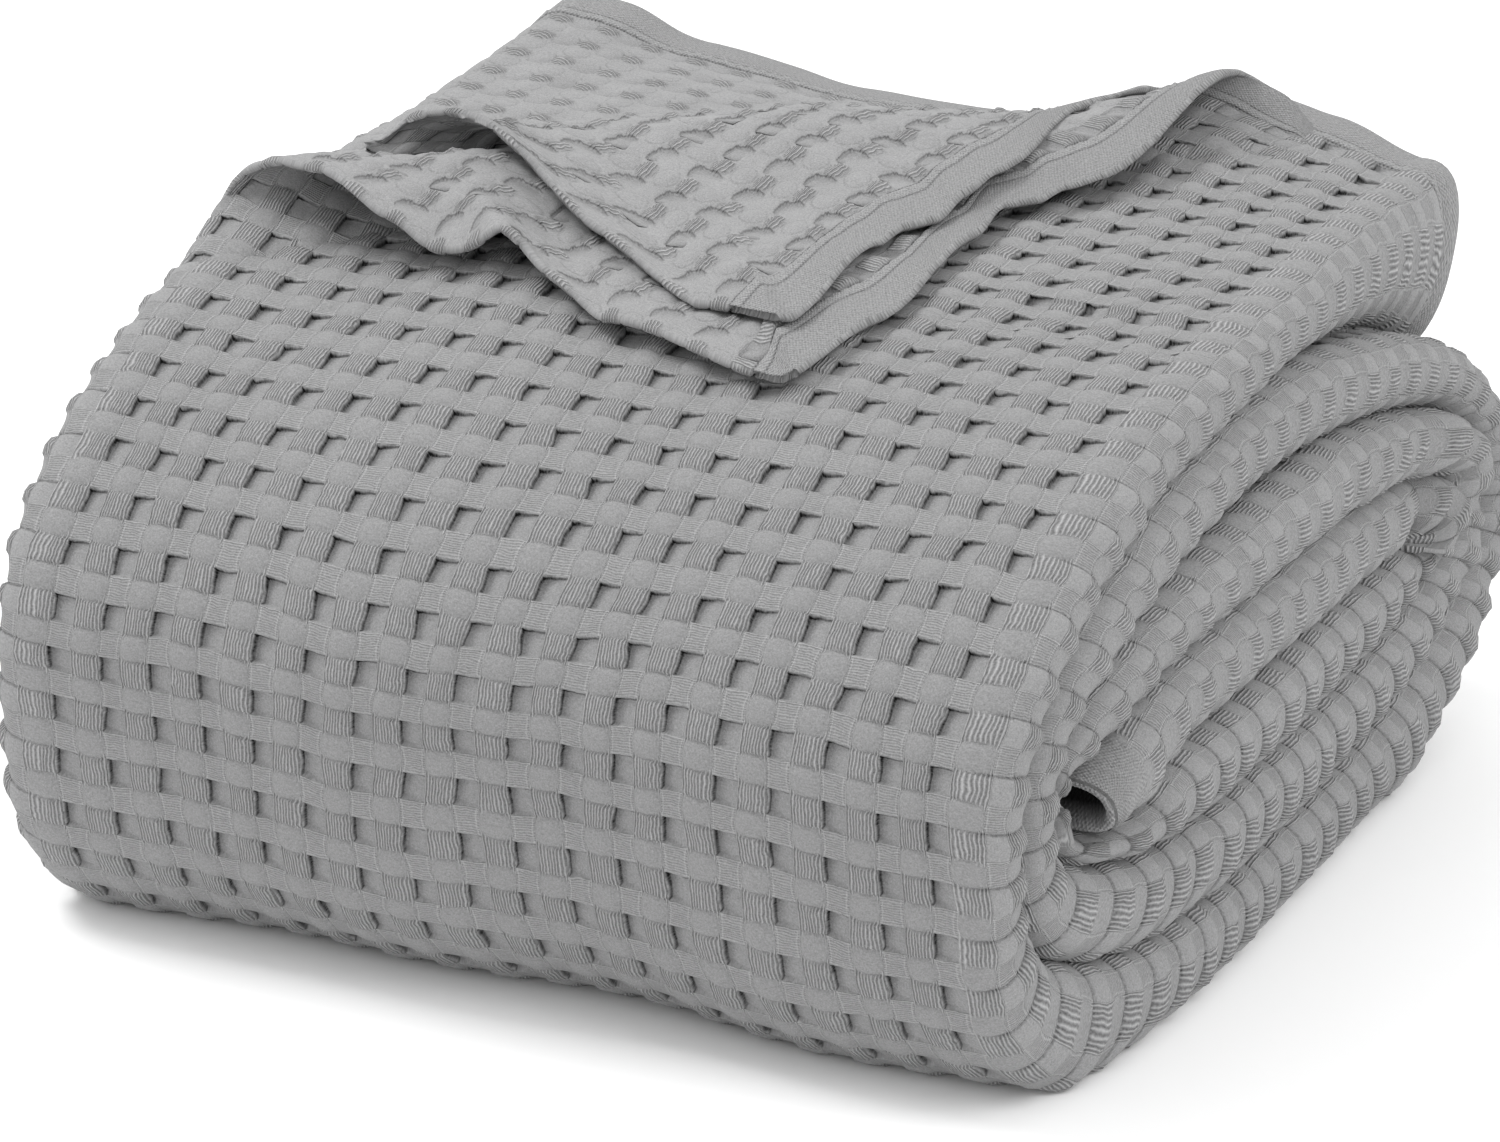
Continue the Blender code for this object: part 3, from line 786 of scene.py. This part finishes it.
def faceLook(g, cloth, fold):
    # Tone and height of the weave's face: pockets and linings between columns of floats and crossings.
    u, v, fu, fv, sway = cloth.u, cloth.v, cloth.fu, cloth.fv, cloth.sway
    inU = g.between(fu, 0.015, 0.455, 0.012)
    inV = g.between(fv, 0.015, 0.485, 0.012)
    offU, offV = g.less(1.0, inU), g.less(1.0, inV)
    pocket = g.times(inU, inV)
    lined = g.times(inU, offV)
    # Distance from the middle of the nearest crossing, 1 at its rim.
    du = g.away(g.math("FRACT", g.add(u, 0.5 - weave["crossU"])), 0.5, 0.30)
    dv = g.away(g.math("FRACT", g.add(v, 0.5 - weave["crossV"])), 0.5, 0.28)
    # Long floats lie side by side as ribs that waver and fringe into the crossings.
    phase = g.add(g.times(fu, 2 * np.pi * yarn["ribs"] / (1 - weave["pocketU"])), sway)
    rib = g.add(0.5, g.times(g.math("SINE", phase), 0.5))
    rim = g.add(g.math("POWER", du, 2.6), g.math("POWER", dv, 2.6), g.times(g.less(rib, 0.5), 0.3))
    crossing = g.less(1.0, g.rise(rim, 0.74, 1.0))
    floats = g.times(offU, g.less(1.0, crossing))
    # Painted shade darkens the ribs' grooves and painted highlight lightens their ridges.
    groove = g.math("POWER", g.less(1.0, rib), 2.5)
    ridgeHighlight = g.math("POWER", rib, 2.0)
    lineSway = g.add(g.times(v, 2 * np.pi * yarn["lines"]), g.times(sway, 1.5))
    line = g.add(0.5, g.times(g.math("SINE", lineSway), 0.5))
    # Single bright yarns bow round each crossing and lie along the pockets' lower edges; the line along each
    # pocket's right edge is a painted highlight on the lit edge of the float beside it.
    bow = g.add(du, g.times(dv, dv, 0.12))
    threadsAndEdgeHighlight = g.add(
        g.times(g.peak(bow, 1.1, 0.1), g.less(1.0, g.rise(dv, 0.75, 0.95)), inU),
        g.times(inU, g.peak(fv, 0.51, 0.025)),
        g.times(inU, g.peak(fv, 0.985, 0.02), 0.7),
        g.times(inV, g.peak(fu, 0.475, 0.022), 1.2),
    )
    height = g.add(
        g.times(floats, rib, 0.8), g.times(crossing, 0.25), g.times(lined, line, 0.28), cloth.grain,
        g.times(threadsAndEdgeHighlight, 0.35),
    )
    flat = g.less(1.0, fold)
    # Painted shade in creases: thin dark lines along each pocket's top and left edges, and between the
    # bulging rows round a fold.
    between = g.peak(g.math("FRACT", g.add(v, 0.5)), 0.5, 0.055)
    crease = g.add(
        g.times(inU, flat, g.peak(fv, 0.022, 0.03)),
        g.times(inV, flat, g.peak(fu, 0.022, 0.03), 0.8),
        g.times(between, fold, g.rise(cloth.fuzzWide, 0.25, 0.6), 0.8),
    )
    # A pocket is in shade under its upper left corner.
    shade = g.times(pocket, flat, g.less(1.0, g.rise(g.add(fu, g.times(fv, 0.35)), 0.0, 0.34)))
    tone = g.add(
        1.0, cloth.speckle,
        g.times(floats, ridgeHighlight, yarn["ridgeHighlight"]),
        g.times(floats, groove, -yarn["groove"]),
        g.times(crossing, -0.08),
        g.times(shade, -yarn["shade"]),
        g.times(lined, g.less(line, 0.6), yarn["lineTone"]),
        # Painted shade darkens the pocket floors.
        g.times(pocket, flat, yarn["pocketShade"] - 1),
        g.times(crease, -yarn["crease"]),
        g.times(threadsAndEdgeHighlight, yarn["threadAndHighlight"]),
    )
    return tone, height


def reverseLook(g, cloth):
    # On the reverse only a tuft of each float shows, beside a short dark slit; painted shade darkens one side
    # of each shallow dent, in a line round its rim and inside it.
    fu, fv, sway = cloth.fu, cloth.fv, cloth.sway
    middleU, middleV = reverseSide["tuftU"], reverseSide["tuftV"]
    tuftU, tuftV = g.away(fu, middleU, 0.23), g.away(fv, middleV, 0.2)
    arcV = g.less(middleV + yarn["arcAway"], fv)
    arcU = g.less(fu, middleU)
    arc = g.math("SQRT", g.add(g.times(arcU, arcU, 0.7), g.times(arcV, arcV)))
    strand = g.math("SINE", g.add(g.times(arc, 2 * np.pi * yarn["arcs"]), g.times(sway, 0.5)))
    tuftRim = g.add(g.times(tuftU, tuftU), g.times(tuftV, tuftV), g.times(strand, 0.2))
    tuft = g.less(1.0, g.rise(tuftRim, 0.8, 1.15))
    slit = g.times(g.peak(tuftRim, 1.3, 0.25), g.less(1.0, g.rise(fv, middleV - 0.1, middleV)))
    discU, discV = g.away(fu, weave["crossU"], 0.27), g.away(fv, weave["crossV"], 0.25)
    discRim = g.add(g.times(discU, discU), g.times(discV, discV))
    disc = g.peak(discRim, 1.0, 0.3)
    dentU, dentV = g.away(fu, reverseSide["dentU"], 0.28), g.away(fv, reverseSide["dentV"], 0.28)
    dentRim = g.add(g.math("POWER", dentU, 3.0), g.math("POWER", dentV, 3.0))
    # Painted shade: a dark line round one side of each dent's rim, and a darkening inside it towards that
    # side.
    dentShadeLine = g.times(g.peak(dentRim, 1.0, 0.26), g.rise(g.add(fu, fv), 0.4, 0.6))
    hollow = g.times(g.less(1.0, g.rise(dentRim, 0.7, 1.0)), g.rise(g.add(fu, fv), 0.3, 0.75))
    height = g.add(cloth.grain, g.times(tuft, strand, 0.6))
    tone = g.add(
        1.0, cloth.speckle,
        g.times(tuft, 0.16),
        g.times(tuft, strand, 0.36),
        g.times(slit, -0.14),
        g.times(dentShadeLine, -0.5),
        g.times(hollow, -0.12),
        g.times(disc, g.rise(cloth.fuzzWide, 0.35, 0.65), -0.26),
        g.times(g.less(cloth.wide, 0.5), 0.35),
    )
    return tone, height


def hemLook(g, cloth):
    # The hem is plain and close, with fine slanting ribs and its seam's two lines.
    across, along = cloth.across, cloth.along
    slant = g.times(g.add(across, g.times(along, 0.8)), 2 * np.pi * yarn["hemRibs"])
    hemRib = g.math("SINE", g.add(slant, g.times(cloth.sway, 0.4)))
    cross = g.times(g.less(across, g.times(along, 1.1)), 2 * np.pi * yarn["hemRibs"])
    hatch = g.math("SINE", g.add(cross, g.times(cloth.sway, 0.4)))
    seam = g.between(along, -0.24, -0.03, 0.02)
    seamLine = g.add(g.peak(along, -0.28, 0.035), g.peak(along, 0.0, 0.03))
    height = g.add(
        g.times(hemRib, 0.14), g.times(hatch, 0.1), g.times(cloth.fuzz, 0.6), g.times(cloth.fleck, 0.3),
        g.times(seam, 0.5), g.times(seamLine, -0.6),
    )
    tone = g.add(
        0.96, cloth.speckle, g.times(g.less(cloth.fleck, 0.5), 0.6), g.times(hemRib, 0.12),
        g.times(hatch, 0.08), g.times(seam, 0.1), g.times(seamLine, -0.25),
    )
    return tone, height


def waffleGroup():
    # Tone and height of the cloth by its UV place and masks.
    masks = ("Hem", "Reverse", "Fold", "Deep")
    tree, inputs, outputs = newGroup(
        "waffleWeave",
        [("Weave", "NodeSocketVector")] + [(mask, "NodeSocketFloat") for mask in masks],
        [("Tone", "NodeSocketFloat"), ("Height", "NodeSocketFloat")],
    )
    g = Graph(tree)
    cloth = clothSockets(g, inputs.outputs["Weave"])
    hem, reverse, fold, deep = [inputs.outputs[mask] for mask in masks]
    faceTone, faceHeight = faceLook(g, cloth, fold)
    backTone, backHeight = reverseLook(g, cloth)
    hemTone, hemHeight = hemLook(g, cloth)
    allTone = g.mixed(g.mixed(faceTone, backTone, reverse), hemTone, hem)
    # Little light reaches the inside of the core.
    lit = g.less(1.0, g.times(deep, yarn["deepShade"]))
    g.feed(outputs.inputs["Tone"], g.times(allTone, lit))
    g.feed(outputs.inputs["Height"], g.mixed(g.mixed(faceHeight, backHeight, reverse), hemHeight, hem))
    return tree


def cottonMaterial(name, tint):
    material = bpy.data.materials.new(name)
    material.use_nodes = True
    g = Graph(material.node_tree)
    shader = material.node_tree.nodes["Principled BSDF"]
    shader.inputs["Roughness"].default_value = yarn["roughness"]
    shader.inputs["Specular IOR Level"].default_value = yarn["specular"]
    shader.inputs["Sheen Weight"].default_value = yarn["sheen"]
    shader.inputs["Sheen Roughness"].default_value = yarn["sheenRoughness"]
    uv = g.node("ShaderNodeUVMap", uv_map="weave")
    made = g.node("ShaderNodeGroup")
    made.node_tree = waffleGroup()
    g.feed(made.inputs["Weave"], uv.outputs["UV"])
    for mask in ("hem", "reverse", "fold", "deep"):
        found = g.node("ShaderNodeAttribute", attribute_name=mask)
        g.feed(made.inputs[mask.capitalize()], found.outputs["Fac"])
    color = g.node("ShaderNodeMix", data_type="RGBA", blend_type="MULTIPLY")
    color.inputs["Factor"].default_value = 1.0
    color.inputs["A"].default_value = (*tint, 1)
    g.feed(color.inputs["B"], made.outputs["Tone"])
    g.feed(shader.inputs["Base Color"], color.outputs["Result"])
    inputs = {"Strength": 1.0, "Distance": yarn["bumpDepth"], "Height": made.outputs["Height"]}
    bump = g.node("ShaderNodeBump", inputs)
    g.feed(shader.inputs["Normal"], bump.outputs["Normal"])
    return material


cotton = cottonMaterial("cotton", yarn["tint"])
for piece in rollPieces + [cornerLower, cornerUpper]:
    piece.data.materials.append(cotton)
    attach(piece, "root")
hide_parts("blanket")
stage("cotton is on every piece")

# Floor, light and camera.
studio = dict(
    azimuth=np.radians(25.6), elevation=np.radians(22.5), distance=120.0, lookX=0.1, lookZ=4.70,
    cellPixels=55.3, framePixels=1500, sensor=36.0,  # a cell's width in the picture, and the picture's
    floorSize=12, floorDrop=0.0004, floorGrey=1.0, floorRoughness=0.9, world=1.0, aim=(0, 0, 0.1),
    lights=(("key", 31.0, 0.9, (-1.5, -0.15, 2.2)), ("fill", 21.0, 1.6, (1.9, -0.2, 2.1))),
)
bpy.ops.mesh.primitive_plane_add(size=studio["floorSize"], location=(0, 0, -studio["floorDrop"]))
floor = bpy.context.object
floor.name = "floor"
floorMaterial = bpy.data.materials.new("floor")
floorMaterial.use_nodes = True
floorShader = floorMaterial.node_tree.nodes["Principled BSDF"]
floorShader.inputs["Base Color"].default_value = (studio["floorGrey"],) * 3 + (1,)
floorShader.inputs["Roughness"].default_value = studio["floorRoughness"]
floor.data.materials.append(floorMaterial)

world = bpy.data.worlds.new("studio")
bpy.context.scene.world = world
world.use_nodes = True
world.node_tree.nodes["Background"].inputs[0].default_value = (1, 1, 1, 1)
world.node_tree.nodes["Background"].inputs[1].default_value = studio["world"]
for name, power, size, at in studio["lights"]:
    lamp = bpy.data.lights.new(name, "AREA")
    lamp.energy = power
    lamp.size = size
    holder = bpy.data.objects.new(name, lamp)
    bpy.context.collection.objects.link(holder)
    holder.location = at
    heading = Vector(studio["aim"]) - holder.location
    holder.rotation_euler = heading.to_track_quat("-Z", "Y").to_euler()

az, el = studio["azimuth"], studio["elevation"]
backward = Vector((np.sin(az) * np.cos(el), -np.cos(az) * np.cos(el), np.sin(el)))
rightward = Vector((np.cos(az), np.sin(az), 0))
upward = Vector((-np.sin(az) * np.sin(el), np.cos(az) * np.sin(el), np.cos(el)))
eye = rightward * studio["lookX"] + upward * studio["lookZ"] + backward * studio["distance"]
eye = (eye + Vector(shift)) * cell
cameraData = bpy.data.cameras.new("camera")
cameraData.sensor_width = studio["sensor"]
cameraData.lens = studio["cellPixels"] * studio["distance"] / studio["framePixels"] * studio["sensor"]
cameraData.clip_end = 50
camera = bpy.data.objects.new("camera", cameraData)
bpy.context.collection.objects.link(camera)
placing = Matrix((rightward, upward, backward)).transposed().to_4x4()
placing.translation = eye
camera.matrix_world = placing
bpy.context.scene.camera = camera
bpy.context.scene.view_settings.view_transform = "Standard"

stage("scene is ready")
bpy.context.view_layer.update()
